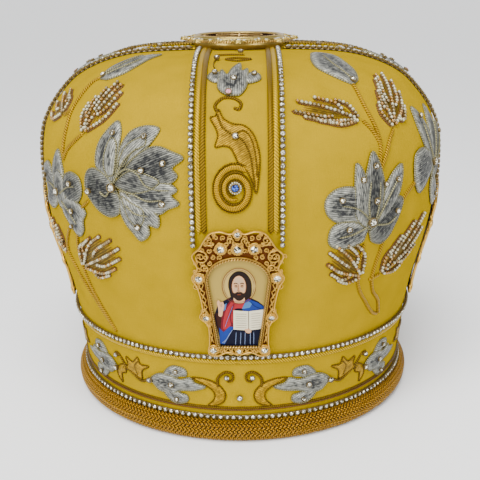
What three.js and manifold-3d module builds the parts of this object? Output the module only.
// Bishop mitre: a velvet crown of four lobes on an upright head band and a wound roll.
// Four bands cross the crown. Each has two braids, two chains of stones, an icon plaque and a tulip.
// Millimetres, +Z up, front towards -Y, resting on z = 0, with the axis of the crown at x = y = 0.
import * as THREE from 'three';
import { mergeVertices } from 'three/addons/utils/BufferGeometryUtils.js';
import { TessellateModifier } from 'three/addons/modifiers/TessellateModifier.js';
import Module from 'manifold-3d';

const wasm = await Module();
wasm.setup();

// Driving sizes of the crown and the head band
const seamHeight = 52;
const crownRadius = 121.1;
const crownHeight = 158.1;
const crownWall = 3;
const footRadius = 100.6;
const bandLift = 0.6;
const bandWall = 3;
const lobeSwell = 2;
const lobeBlend = 45;
const swellRise = 40;

// Driving sizes of the trim
const gap = 0.35;
const rollDepth = 7.2;
const rollHeight = 12.8;
const chainRadius = 1.6;
const chainLine = 22.4;
const chainTopReach = 26;
const ringChainRise = 1.4;
const braidWidth = 4.6;
const braidThickness = 1.3;
const braidTopReach = 24;
const ringBraidWidth = 3.2;

// Driving sizes of the icon plaques
const plaqueHeight = 77.4;
const plaqueWidth = 47.2;
const plateThickness = 1.2;
const frameThickness = 1.4;
const gapWidth = 2.6;
const plateInset = 1.2;
const skinClearance = 0.6;
const stoneRise = 1.5;
const stoneRoot = 0.5;
const longestEdge = 18;
const rowSpare = 3.6;

// Driving sizes of the medallion on top
const bezelRadius = 27;
const bezelHeight = 7;
const bezelWall = 2.4;
const topPlateThickness = 1.8;
const laceRadius = 33;
const laceTabReach = 2.3;
const laceThickness = 1.3;
const laceDrop = 1.2;
const laceCount = 8;
const laceStoneRadius = 1.9;
const laceRib = 1.3;

// Padded metal-thread work; a long flower bridges the curve of the velvet, so it stands further off
const flowerClearance = 1.1;
const threadEdge = 0.9;
const threadCrown = 2.4;

// Corners closer than this are one; no whole number of hundredths falls between two of its steps
const weldDistance = 0.00037;

// Facets round each ring piece
const columns = 36;
const quarter = Math.PI / 2;

// Crown profile from the seam to the top: up is a share of crownHeight, out of crownRadius
const crownProfile = [
  { up: 0.000, out: 0.875 },
  { up: 0.146, out: 0.910 },
  { up: 0.304, out: 0.961 },
  { up: 0.443, out: 0.992 },
  { up: 0.588, out: 1.000 },
  { up: 0.702, out: 0.988 },
  { up: 0.778, out: 0.951 },
  { up: 0.848, out: 0.889 },
  { up: 0.912, out: 0.806 },
  { up: 0.958, out: 0.690 },
  { up: 0.988, out: 0.542 },
  { up: 0.999, out: 0.330 },
  { up: 1.000, out: 0.000 },
];

// Facet rows, as shares of the way along the profile from the seam to the top
const outerRows = [0, 0.13, 0.26, 0.39, 0.47, 0.545, 0.605, 0.665, 0.735, 0.82, 0.91];
const innerRows = [0, 0.26, 0.47, 0.605, 0.735, 0.87];

// Roll section: out is a share of rollDepth from the head band, up of rollHeight
const rollSection = [
  { out: 0.00, up: 0.00 },
  { out: 0.45, up: 0.00 },
  { out: 0.86, up: 0.18 },
  { out: 1.00, up: 0.50 },
  { out: 0.86, up: 0.80 },
  { out: 0.48, up: 0.98 },
  { out: 0.00, up: 1.00 },
];

// Right-hand edge of a plaque from foot to top: across is a share of half its width, up of its height
const plaqueEdge = [
  { across: 0.000, up: 0.008 },
  { across: 0.275, up: 0.034 },
  { across: 0.487, up: 0.003 },
  { across: 0.690, up: 0.016 },
  { across: 0.670, up: 0.110 },
  { across: 0.690, up: 0.253 },
  { across: 0.864, up: 0.318 },
  { across: 0.797, up: 0.395 },
  { across: 0.880, up: 0.555 },
  { across: 1.000, up: 0.638 },
  { across: 0.873, up: 0.710 },
  { across: 0.979, up: 0.802 },
  { across: 0.822, up: 0.858 },
  { across: 0.712, up: 0.916 },
  { across: 0.576, up: 0.966 },
  { across: 0.360, up: 0.977 },
  { across: 0.163, up: 0.962 },
  { across: 0.000, up: 1.000 },
];

// Window of a plaque, in the same shares
const windowFoot = { across: 0.428, up: 0.085 };
const windowShoulder = { across: 0.636, up: 0.620 };
const windowTop = 0.779;
const windowArcPoints = 6;

// Table of a cut stone as a share of its width
const tableShare = 0.55;

// Cut stones of a plaque: size is the setting's radius as a share of half the plaque's width
const plaqueStones = [
  { across: 0.00, up: 0.962, size: 0.092 },
  { across: 0.00, up: 0.860, size: 0.124 },
  { across: 0.35, up: 0.860, size: 0.120 },
  { across: -0.35, up: 0.860, size: 0.120 },
  { across: 0.83, up: 0.638, size: 0.120 },
  { across: -0.83, up: 0.638, size: 0.120 },
  { across: 0.71, up: 0.318, size: 0.104 },
  { across: -0.71, up: 0.318, size: 0.104 },
  { across: 0.565, up: 0.050, size: 0.116 },
  { across: -0.565, up: 0.050, size: 0.116 },
  { across: 0.00, up: 0.047, size: 0.086 },
];

// Pierced gaps beside the window, on both hands: tall is half a gap's height, a share of the plaque's
const plaqueGaps = [
  { across: 0.556, up: 0.145, tall: 0.026 },
  { across: 0.578, up: 0.217, tall: 0.030 },
  { across: 0.680, up: 0.402, tall: 0.030 },
  { across: 0.710, up: 0.476, tall: 0.030 },
  { across: 0.740, up: 0.548, tall: 0.026 },
  { across: 0.745, up: 0.752, tall: 0.034 },
  { across: 0.560, up: 0.806, tall: 0.026 },
];

// Padded flowers of the lobes: across is a share of half the lobe's width, up of the way to the top,
// size of half the lobe's width. Each petal has its turn in degrees and its reach as a share of size.
const lobeFlowers = [
  {
    name: 'lobe_flower_large_left',
    lobes: [0, 2],
    across: 0.421,
    up: 0.408,
    size: 0.500,
    petals: [
      { turn: -165, reach: 0.55 },
      { turn: -66, reach: 0.84 },
      { turn: -36, reach: 0.83 },
      { turn: -2, reach: 0.94 },
      { turn: 27, reach: 1.08 },
      { turn: 58, reach: 1.00 },
      { turn: 97, reach: 0.93 },
      { turn: 130, reach: 0.76 },
    ],
  },
  {
    name: 'lobe_flower_small_left',
    lobes: [0, 2],
    across: -0.210,
    up: 0.364,
    size: 0.330,
    petals: [
      { turn: -152, reach: 0.90 },
      { turn: -64, reach: 0.92 },
      { turn: -14, reach: 0.92 },
      { turn: 40, reach: 0.86 },
      { turn: 98, reach: 0.98 },
      { turn: 160, reach: 1.12 },
    ],
  },
  {
    name: 'lobe_flower_large_right',
    lobes: [1, 3],
    across: -0.310,
    up: 0.376,
    size: 0.350,
    petals: [
      { turn: -152, reach: 0.96 },
      { turn: -112, reach: 0.86 },
      { turn: -63, reach: 0.98 },
      { turn: -14, reach: 1.02 },
      { turn: 31, reach: 0.95 },
      { turn: 82, reach: 0.92 },
      { turn: 118, reach: 0.84 },
      { turn: 167, reach: 0.98 },
    ],
  },
  {
    name: 'lobe_flower_small_right',
    lobes: [1, 3],
    across: 0.400,
    up: 0.428,
    size: 0.380,
    petals: [
      { turn: -150, reach: 0.72 },
      { turn: -95, reach: 0.86 },
      { turn: -50, reach: 1.02 },
      { turn: 8, reach: 0.86 },
      { turn: 58, reach: 1.04 },
      { turn: 108, reach: 0.94 },
    ],
  },
];

// Padded buds of the lobes, with the same shares; lean is the turn of the tip from upright in degrees
const lobeBuds = [
  { name: 'lobe_bud_left', lobes: [0, 2], across: -0.039, up: 0.716, size: 0.240, lean: 14 },
  { name: 'lobe_bud_right', lobes: [1, 3], across: -0.150, up: 0.706, size: 0.265, lean: 11 },
];
const budSlimness = 0.36;
const budPoints = 8;

// Padded tulip of each band: up is a share of the way to the top, size of the chain line
const tulipUp = 0.676;
const tulipSize = 0.60;
const tulipPetals = [
  { turn: -90, reach: 0.92 },
  { turn: -20, reach: 0.78 },
  { turn: 18, reach: 0.86 },
  { turn: 90, reach: 1.00 },
  { turn: 162, reach: 0.86 },
  { turn: 200, reach: 0.78 },
];
const petalHalfTurn = 9;
const notchShare = 0.62;

// Colours of the finishes
const velvetYellow = 0xd9b23a;
const goldWork = 0xb8862f;
const silverThread = 0xa9a9a6;
const stoneGlass = 0xdfe3e6;
const plaqueGold = 0xc9a05a;
const paintedPlate = 0x7a4a30;

const group = new THREE.Group();

function addPiece(name, geometry, colour, roughness, metalness) {
  const material = new THREE.MeshStandardMaterial({ color: colour, roughness, metalness });
  const mesh = new THREE.Mesh(geometry, material);
  mesh.name = name;
  group.add(mesh);
}

// The profile as one smooth curve, read by the way along it
const crownCurve = new THREE.SplineCurve(
  crownProfile.map((row) => new THREE.Vector2(row.out * crownRadius, seamHeight + row.up * crownHeight)),
);
crownCurve.arcLengthDivisions = 600;
const crownArc = crownCurve.getLength();
const chainOuterLine = chainLine + chainRadius;

// Swell of a lobe at a point of the profile, none on the bands, at the seam and on the top
function lobeHeight(turn, radius, along) {
  const nearestBand = Math.min(Math.abs(Math.sin(turn)), Math.abs(Math.cos(turn))) * radius;
  const intoLobe = THREE.MathUtils.smoothstep(nearestBand - chainOuterLine, 0, lobeBlend);
  return lobeSwell * intoLobe * THREE.MathUtils.smoothstep(along, 0, swellRise);
}

// Point of the crown at a turn from the front, a way along from the seam and a height off the velvet
function onCrown(turn, along, out) {
  const share = THREE.MathUtils.clamp(along / crownArc, 0, 1);
  const rim = crownCurve.getPointAt(share);
  const rise = crownCurve.getTangentAt(share);
  const lift = out + lobeHeight(turn, rim.x, along);
  const radius = rim.x + rise.y * lift;
  return new THREE.Vector3(radius * Math.sin(turn), -radius * Math.cos(turn), rim.y - rise.x * lift);
}

function crownRadiusAt(along) {
  return crownCurve.getPointAt(THREE.MathUtils.clamp(along / crownArc, 0, 1)).x;
}

// The way along at which the upper crown has narrowed to a radius
function alongAtRadius(radius) {
  let low = crownArc * 0.5;
  let high = crownArc;
  for (let step = 0; step < 40; step += 1) {
    const middle = (low + high) / 2;
    if (crownRadiusAt(middle) > radius) {
      low = middle;
    } else {
      high = middle;
    }
  }
  return low;
}

// Place on a band: across is a true sideways distance from the band's middle line
function onBand(side, across, along, out) {
  return onCrown(side * quarter + Math.asin(across / crownRadiusAt(along)), along, out);
}

// Place on a lobe: across is measured along the velvet from the lobe's middle line
function onLobe(lobe, across, along, out) {
  return onCrown((lobe - 0.5) * quarter + across / crownRadiusAt(along), along, out);
}

// Half the width of a lobe where the crown is widest
const lobeHalf = crownRadius * (quarter / 2 - Math.asin(chainOuterLine / crownRadius));

// Outside of the head band at a height above the floor
const bandTop = seamHeight - gap;
const bandTopRadius = crownProfile[0].out * crownRadius;
function headRadiusAt(height) {
  return THREE.MathUtils.mapLinear(height, bandLift, bandTop, footRadius, bandTopRadius);
}

// One closed body: shared corners merged and flat faces without area left out
function closedBody(source) {
  const geometry = source.clone();
  geometry.deleteAttribute('normal');
  geometry.deleteAttribute('uv');
  const merged = mergeVertices(geometry, weldDistance);
  const index = merged.index.array;
  const kept = [];
  for (let i = 0; i < index.length; i += 3) {
    const [a, b, c] = index.slice(i, i + 3);
    if (a !== b && b !== c && c !== a) {
      kept.push(a, b, c);
    }
  }
  merged.setIndex(kept);
  return merged;
}

function toSolid(geometry) {
  const body = closedBody(geometry);
  return new wasm.Manifold(new wasm.Mesh({
    numProp: 3,
    vertProperties: new Float32Array(body.attributes.position.array),
    triVerts: new Uint32Array(body.index.array),
  }));
}

function fromSolid(solid) {
  const mesh = solid.getMesh();
  const geometry = new THREE.BufferGeometry();
  geometry.setAttribute('position', new THREE.BufferAttribute(new Float32Array(mesh.vertProperties), 3));
  geometry.setIndex(new THREE.BufferAttribute(new Uint32Array(mesh.triVerts), 1));
  return geometry;
}

function joined(geometries) {
  return fromSolid(geometries.map(toSolid).reduce((whole, part) => whole.add(part)));
}

// Moves each corner of a flat piece to its place on the hat
function laid(source, place) {
  const geometry = source.clone();
  const position = geometry.attributes.position;
  for (let i = 0; i < position.count; i += 1) {
    const spot = place(position.getX(i), position.getY(i), position.getZ(i));
    position.setXYZ(i, spot.x, spot.y, spot.z);
  }
  return closedBody(geometry);
}

// Ring round the axis from a closed section, listed up its outside and down its inside
function ring(section) {
  const closed = [...section, section[0]].map((point) => new THREE.Vector2(point.x, point.y));
  return closedBody(new THREE.LatheGeometry(closed, columns).rotateX(quarter));
}

function polar(turn, radius) {
  return new THREE.Vector2(radius * Math.cos(turn), radius * Math.sin(turn));
}

function octagon(radius, x, y) {
  const points = [];
  for (let corner = 0; corner < 8; corner += 1) {
    points.push(polar(((corner + 0.5) * Math.PI) / 4, radius).add(new THREE.Vector2(x, y)));
  }
  return points;
}

// Crown of velvet: up the outside to the top, closed down the inside
function makeCrownShell() {
  const inside = innerRows.map((share) => ({ along: share * crownArc, out: -crownWall })).reverse();
  const outside = outerRows.map((share) => ({ along: share * crownArc, out: 0 }));
  const rows = [...inside, ...outside];
  const top = seamHeight + crownHeight;
  const template = [
    new THREE.Vector2(0, top - crownWall),
    ...rows.map((row) => new THREE.Vector2(crownRadiusAt(row.along), row.along)),
    new THREE.Vector2(0, top),
  ];
  const shell = new THREE.LatheGeometry(template, columns).rotateX(quarter);
  const position = shell.attributes.position;
  for (let i = 0; i < position.count; i += 1) {
    const row = rows[(i % template.length) - 1];
    if (row) {
      const turn = (Math.floor(i / template.length) * 2 * Math.PI) / columns;
      const spot = onCrown(turn, row.along, row.out);
      position.setXYZ(i, spot.x, spot.y, row.along === 0 ? seamHeight : spot.z);
    }
  }
  return closedBody(shell);
}

function makeHeadBand() {
  return ring([
    { x: footRadius - bandWall, y: bandLift },
    { x: footRadius, y: bandLift },
    { x: bandTopRadius, y: bandTop },
    { x: bandTopRadius - bandWall, y: bandTop },
  ]);
}

function makeBaseRoll() {
  return ring(rollSection.map((row) => {
    const height = row.up * rollHeight;
    return { x: headRadiusAt(height) + gap + row.out * rollDepth, y: height };
  }));
}

function makeRingBraid() {
  const top = seamHeight + ringChainRise - chainRadius - gap;
  const foot = top - ringBraidWidth;
  return ring([
    { x: headRadiusAt(foot) + gap, y: foot },
    { x: headRadiusAt(foot) + gap + braidThickness, y: foot },
    { x: headRadiusAt(top) + gap + braidThickness, y: top },
    { x: headRadiusAt(top) + gap, y: top },
  ]);
}

function makeUpperRingChain() {
  const middle = onCrown(0, ringChainRise, chainRadius + gap);
  return ring(octagon(chainRadius, -middle.y, middle.z));
}

function makeLowerRingChain() {
  const height = rollHeight + gap + chainRadius;
  return ring(octagon(chainRadius, headRadiusAt(height) + gap + chainRadius, height));
}

// The highest place at which the plaque is at least so wide, from the seam along the velvet
const plaqueHalf = plaqueWidth / 2;
const plaqueFoot = ringChainRise + chainRadius + gap;
function plaqueReachAt(across) {
  let reach = 0;
  for (let i = 1; i < plaqueEdge.length; i += 1) {
    const low = plaqueEdge[i - 1];
    const high = plaqueEdge[i];
    const near = (across / plaqueHalf - low.across) / (high.across - low.across);
    if (near >= 0 && near <= 1) {
      reach = plaqueFoot + THREE.MathUtils.lerp(low.up, high.up, near) * plaqueHeight;
    }
  }
  return reach;
}

// Strip along a band, from just above the plaque to just short of the medallion's middle
function makeStrip(side, line, section, innerEdge, topReach) {
  const low = Math.max(plaqueReachAt(innerEdge), plaqueFoot) + 2 * gap;
  const high = alongAtRadius(Math.hypot(line, topReach));
  const between = outerRows.map((share) => share * crownArc)
    .filter((along) => along > low + rowSpare && along < high - rowSpare);
  const rows = [high, ...between.reverse(), low];
  const bar = new THREE.ExtrudeGeometry(new THREE.Shape(section), {
    depth: rows.length - 1,
    steps: rows.length - 1,
    bevelEnabled: false,
  });
  return laid(bar, (x, y, z) => onBand(side, line + x, rows[Math.round(z)], y));
}

function makeBraid(side, line) {
  const half = braidWidth / 2;
  const section = [
    new THREE.Vector2(-half, skinClearance),
    new THREE.Vector2(half, skinClearance),
    new THREE.Vector2(half, skinClearance + braidThickness),
    new THREE.Vector2(-half, skinClearance + braidThickness),
  ];
  return makeStrip(side, line, section, Math.abs(line) - half - gap, braidTopReach);
}

function makeChain(side, line) {
  const section = octagon(chainRadius, 0, chainRadius + gap);
  return makeStrip(side, line, section, Math.abs(line) - chainRadius - gap, chainTopReach);
}

function plaquePoint(row) {
  return new THREE.Vector2(row.across * plaqueHalf, row.up * plaqueHeight);
}

function mirrored(points) {
  return points.map((point) => new THREE.Vector2(-point.x, point.y)).reverse();
}

// Edge of the window: straight sides that widen upwards, closed by half an ellipse
function windowArch() {
  const shoulder = plaquePoint(windowShoulder);
  const points = [plaquePoint(windowFoot)];
  for (let i = 0; i < windowArcPoints / 2; i += 1) {
    const turn = (i / (windowArcPoints / 2)) * quarter;
    const rise = windowTop * plaqueHeight - shoulder.y;
    points.push(new THREE.Vector2(shoulder.x * Math.cos(turn), shoulder.y + rise * Math.sin(turn)));
  }
  return [...points, new THREE.Vector2(0, windowTop * plaqueHeight), ...mirrored(points)];
}

// Cut stone fused to its setting: eight facets round a table, rooted in the metal
function cutStone(radius, x, y, base) {
  const stone = new THREE.CylinderGeometry(radius * tableShare, radius, stoneRise + stoneRoot, 8);
  return stone.rotateX(quarter).translate(x, y, base + (stoneRise - stoneRoot) / 2);
}

function makeFrame(side) {
  const right = plaqueEdge.map(plaquePoint);
  const outline = new THREE.Shape([...right, ...mirrored(right.slice(1, -1))]);
  outline.holes.push(new THREE.Path(windowArch()));
  for (const row of plaqueGaps) {
    for (const hand of [-1, 1]) {
      const x = hand * row.across * plaqueHalf;
      const y = row.up * plaqueHeight;
      const tall = row.tall * plaqueHeight;
      const wide = gapWidth / 2;
      outline.holes.push(new THREE.Path([
        new THREE.Vector2(x - wide, y),
        new THREE.Vector2(x, y - tall),
        new THREE.Vector2(x + wide, y),
        new THREE.Vector2(x, y + tall),
      ]));
    }
  }
  const plate = new THREE.ExtrudeGeometry(outline, { depth: frameThickness, bevelEnabled: false });
  const stones = plaqueStones.map((row) => {
    const spot = plaquePoint(row);
    return cutStone(row.size * plaqueHalf, spot.x, spot.y, frameThickness);
  });
  const flat = new TessellateModifier(longestEdge, 6).modify(joined([plate, ...stones]));
  const base = skinClearance + plateThickness + 2 * gap;
  return laid(flat, (x, y, z) => onBand(side, x, plaqueFoot + y, base + z));
}

// Plate behind a frame: rows follow the frame's edge, a little inside it
const plateRows = [0.035, 0.10, 0.25, 0.40, 0.555, 0.70, 0.80, 0.88, 0.95];
function edgeAt(up) {
  const i = plaqueEdge.findIndex((row, at) => at > 0 && plaqueEdge[at - 1].up <= up && row.up >= up);
  const low = plaqueEdge[i - 1];
  const high = plaqueEdge[i];
  return THREE.MathUtils.mapLinear(up, low.up, high.up, low.across, high.across) * plaqueHalf;
}

function makePlate(side) {
  const steps = plateRows.length - 1;
  const slab = new THREE.BoxGeometry(2, steps, plateThickness, 3, steps, 1).translate(0, steps / 2, 0);
  const widths = plateRows.map((up) => edgeAt(up) - plateInset);
  return laid(slab, (x, y, z) => {
    const row = Math.round(y);
    const along = plaqueFoot + plateRows[row] * plaqueHeight;
    return onBand(side, x * widths[row], along, skinClearance + plateThickness / 2 + z);
  });
}

// Round medallion: a bezel on the velvet, a sloping lace rim with tabs and stones
function makeTopFrame() {
  const foot = seamHeight + crownHeight + gap;
  const top = foot + bezelHeight;
  const seat = top - topPlateThickness - gap;
  const inner = bezelRadius - bezelWall;
  const bezel = new THREE.LatheGeometry([
    new THREE.Vector2(inner - bezelWall, foot),
    new THREE.Vector2(bezelRadius, foot),
    new THREE.Vector2(bezelRadius, top),
    new THREE.Vector2(inner, top),
    new THREE.Vector2(inner, seat),
    new THREE.Vector2(inner - bezelWall, seat),
    new THREE.Vector2(inner - bezelWall, foot),
  ], laceCount * 2).rotateX(quarter);
  const rim = new THREE.Shape();
  const points = [];
  for (let tab = 0; tab < laceCount; tab += 1) {
    const middle = (tab / laceCount) * 2 * Math.PI;
    for (const [share, reach] of [[-0.5, 0], [-0.2, 0.3], [-0.1, 1], [0.1, 1], [0.2, 0.3]]) {
      const turn = middle + (share / laceCount) * 2 * Math.PI;
      points.push(polar(turn, laceRadius + reach * laceTabReach));
    }
  }
  rim.setFromPoints(points);
  const bore = new THREE.Path();
  const boreRadius = bezelRadius - bezelWall / 2;
  const circle = new THREE.EllipseCurve(0, 0, boreRadius, boreRadius);
  bore.setFromPoints(circle.getPoints(laceCount * 2).slice(0, -1));
  rim.holes.push(bore);
  const near = bezelRadius + laceRib;
  const far = laceRadius - laceRib;
  for (let hole = 0; hole < laceCount; hole += 1) {
    const corners = [[-0.17, near], [0.17, near], [0.12, far], [-0.12, far]];
    rim.holes.push(new THREE.Path(corners.map(([share, radius]) => {
      const turn = ((hole + 0.5 + share) / laceCount) * 2 * Math.PI;
      return polar(turn, radius);
    })));
  }
  const sheet = new THREE.ExtrudeGeometry(rim, { depth: laceThickness, bevelEnabled: false });
  const under = foot + 2 * chainRadius + 2 * gap;
  const lace = laid(sheet, (x, y, z) => {
    const share = (Math.hypot(x, y) - bezelRadius) / (laceRadius - bezelRadius);
    return new THREE.Vector3(x, y, under + z + laceDrop * (1 - share));
  });
  const stones = [];
  for (let tab = 0; tab < laceCount; tab += 1) {
    const turn = (tab / laceCount) * 2 * Math.PI;
    const radius = laceRadius - laceStoneRadius * 0.2;
    const spot = polar(turn, radius);
    stones.push(cutStone(laceStoneRadius, spot.x, spot.y, under + laceThickness));
  }
  return closedBody(joined([bezel, lace, ...stones]));
}

function makeTopPlate() {
  const top = seamHeight + crownHeight + gap + bezelHeight;
  const radius = bezelRadius - bezelWall - gap;
  const disc = new THREE.CylinderGeometry(radius, radius, topPlateThickness, laceCount * 2);
  return closedBody(disc.rotateX(quarter).translate(0, 0, top - topPlateThickness / 2));
}

// Outline of a padded flower: two corners for each petal and one in the notch after it
function petalOutline(petals, size) {
  const points = [];
  const half = THREE.MathUtils.degToRad(petalHalfTurn);
  petals.forEach((petal, i) => {
    const next = petals[(i + 1) % petals.length];
    const turn = THREE.MathUtils.degToRad(petal.turn);
    const step = THREE.MathUtils.euclideanModulo(next.turn - petal.turn, 360);
    const notchTurn = turn + THREE.MathUtils.degToRad(step / 2);
    const notch = notchShare * Math.min(petal.reach, next.reach) * size;
    points.push(polar(turn - half, petal.reach * size));
    points.push(polar(turn + half, petal.reach * size));
    points.push(polar(notchTurn, notch));
  });
  return points;
}

function budOutline(size, lean) {
  const tip = THREE.MathUtils.degToRad(90 - lean);
  const points = [];
  for (let i = 0; i < budPoints; i += 1) {
    const turn = (i / budPoints) * 2 * Math.PI;
    const point = new THREE.Vector2(size * Math.cos(turn), size * budSlimness * Math.sin(turn));
    points.push(point.rotateAround(new THREE.Vector2(), tip));
  }
  return points;
}

// Padded work from its outline: flat below, crowned above, with a ring of corners half way out
function makePad(outline, clearance, place) {
  const top = clearance + threadCrown;
  const rows = [
    { share: 0, out: clearance },
    { share: 0.5, out: clearance },
    { share: 1, out: clearance },
    { share: 1, out: clearance + threadEdge },
    { share: 0.5, out: top - threadEdge / 2 },
    { share: 0, out: top },
  ];
  const template = rows.map((row) => new THREE.Vector2(row.share, row.out));
  const pad = new THREE.LatheGeometry(template, outline.length).rotateX(quarter);
  const position = pad.attributes.position;
  for (let i = 0; i < position.count; i += 1) {
    const row = rows[i % rows.length];
    const corner = outline[Math.floor(i / rows.length) % outline.length];
    const spot = place(corner.x * row.share, corner.y * row.share, row.out);
    position.setXYZ(i, spot.x, spot.y, spot.z);
  }
  return closedBody(pad);
}

function addAppliques() {
  for (const flower of lobeFlowers) {
    addLobeWork(flower, petalOutline(flower.petals, flower.size * lobeHalf), flowerClearance);
  }
  for (const bud of lobeBuds) {
    addLobeWork(bud, budOutline(bud.size * lobeHalf, bud.lean), skinClearance);
  }
  const tulip = petalOutline(tulipPetals, tulipSize * chainLine);
  sideNames.forEach((name, side) => {
    const middle = tulipUp * crownArc;
    const pad = makePad(tulip, skinClearance, (x, y, out) => onBand(side, x, middle + y, out));
    addPiece(`band_tulip_${name}`, pad, silverThread, 0.5, 0.4);
  });
}

function addLobeWork(row, outline, clearance) {
  row.lobes.forEach((lobe, copy) => {
    const pad = makePad(outline, clearance, (x, y, out) => (
      onLobe(lobe, row.across * lobeHalf + x, row.up * crownArc + y, out)));
    const place = copy === 0 ? 'front' : 'back';
    addPiece(`${row.name}_${place}`, pad, silverThread, 0.5, 0.4);
  });
}

const sideNames = ['front', 'right', 'back', 'left'];
const braidLine = chainLine - chainRadius - gap - braidWidth / 2;

addPiece('crown_shell', makeCrownShell(), velvetYellow, 0.9, 0);
addPiece('head_band', makeHeadBand(), velvetYellow, 0.9, 0);
addPiece('base_roll', makeBaseRoll(), goldWork, 0.6, 0.3);
addPiece('ring_braid', makeRingBraid(), goldWork, 0.5, 0.4);
addPiece('ring_chain_upper', makeUpperRingChain(), stoneGlass, 0.2, 0.2);
addPiece('ring_chain_lower', makeLowerRingChain(), stoneGlass, 0.2, 0.2);
sideNames.forEach((name, side) => {
  [-1, 1].forEach((hand, i) => {
    const number = side * 2 + i + 1;
    addPiece(`band_braid_${number}`, makeBraid(side, hand * braidLine), goldWork, 0.5, 0.4);
    addPiece(`band_chain_${number}`, makeChain(side, hand * chainLine), stoneGlass, 0.2, 0.2);
  });
  addPiece(`icon_frame_${name}`, makeFrame(side), plaqueGold, 0.35, 0.8);
  addPiece(`icon_plate_${name}`, makePlate(side), paintedPlate, 0.5, 0.1);
});
addPiece('top_frame', makeTopFrame(), plaqueGold, 0.35, 0.8);
addPiece('top_plate', makeTopPlate(), paintedPlate, 0.5, 0.1);
addAppliques();

export default group;
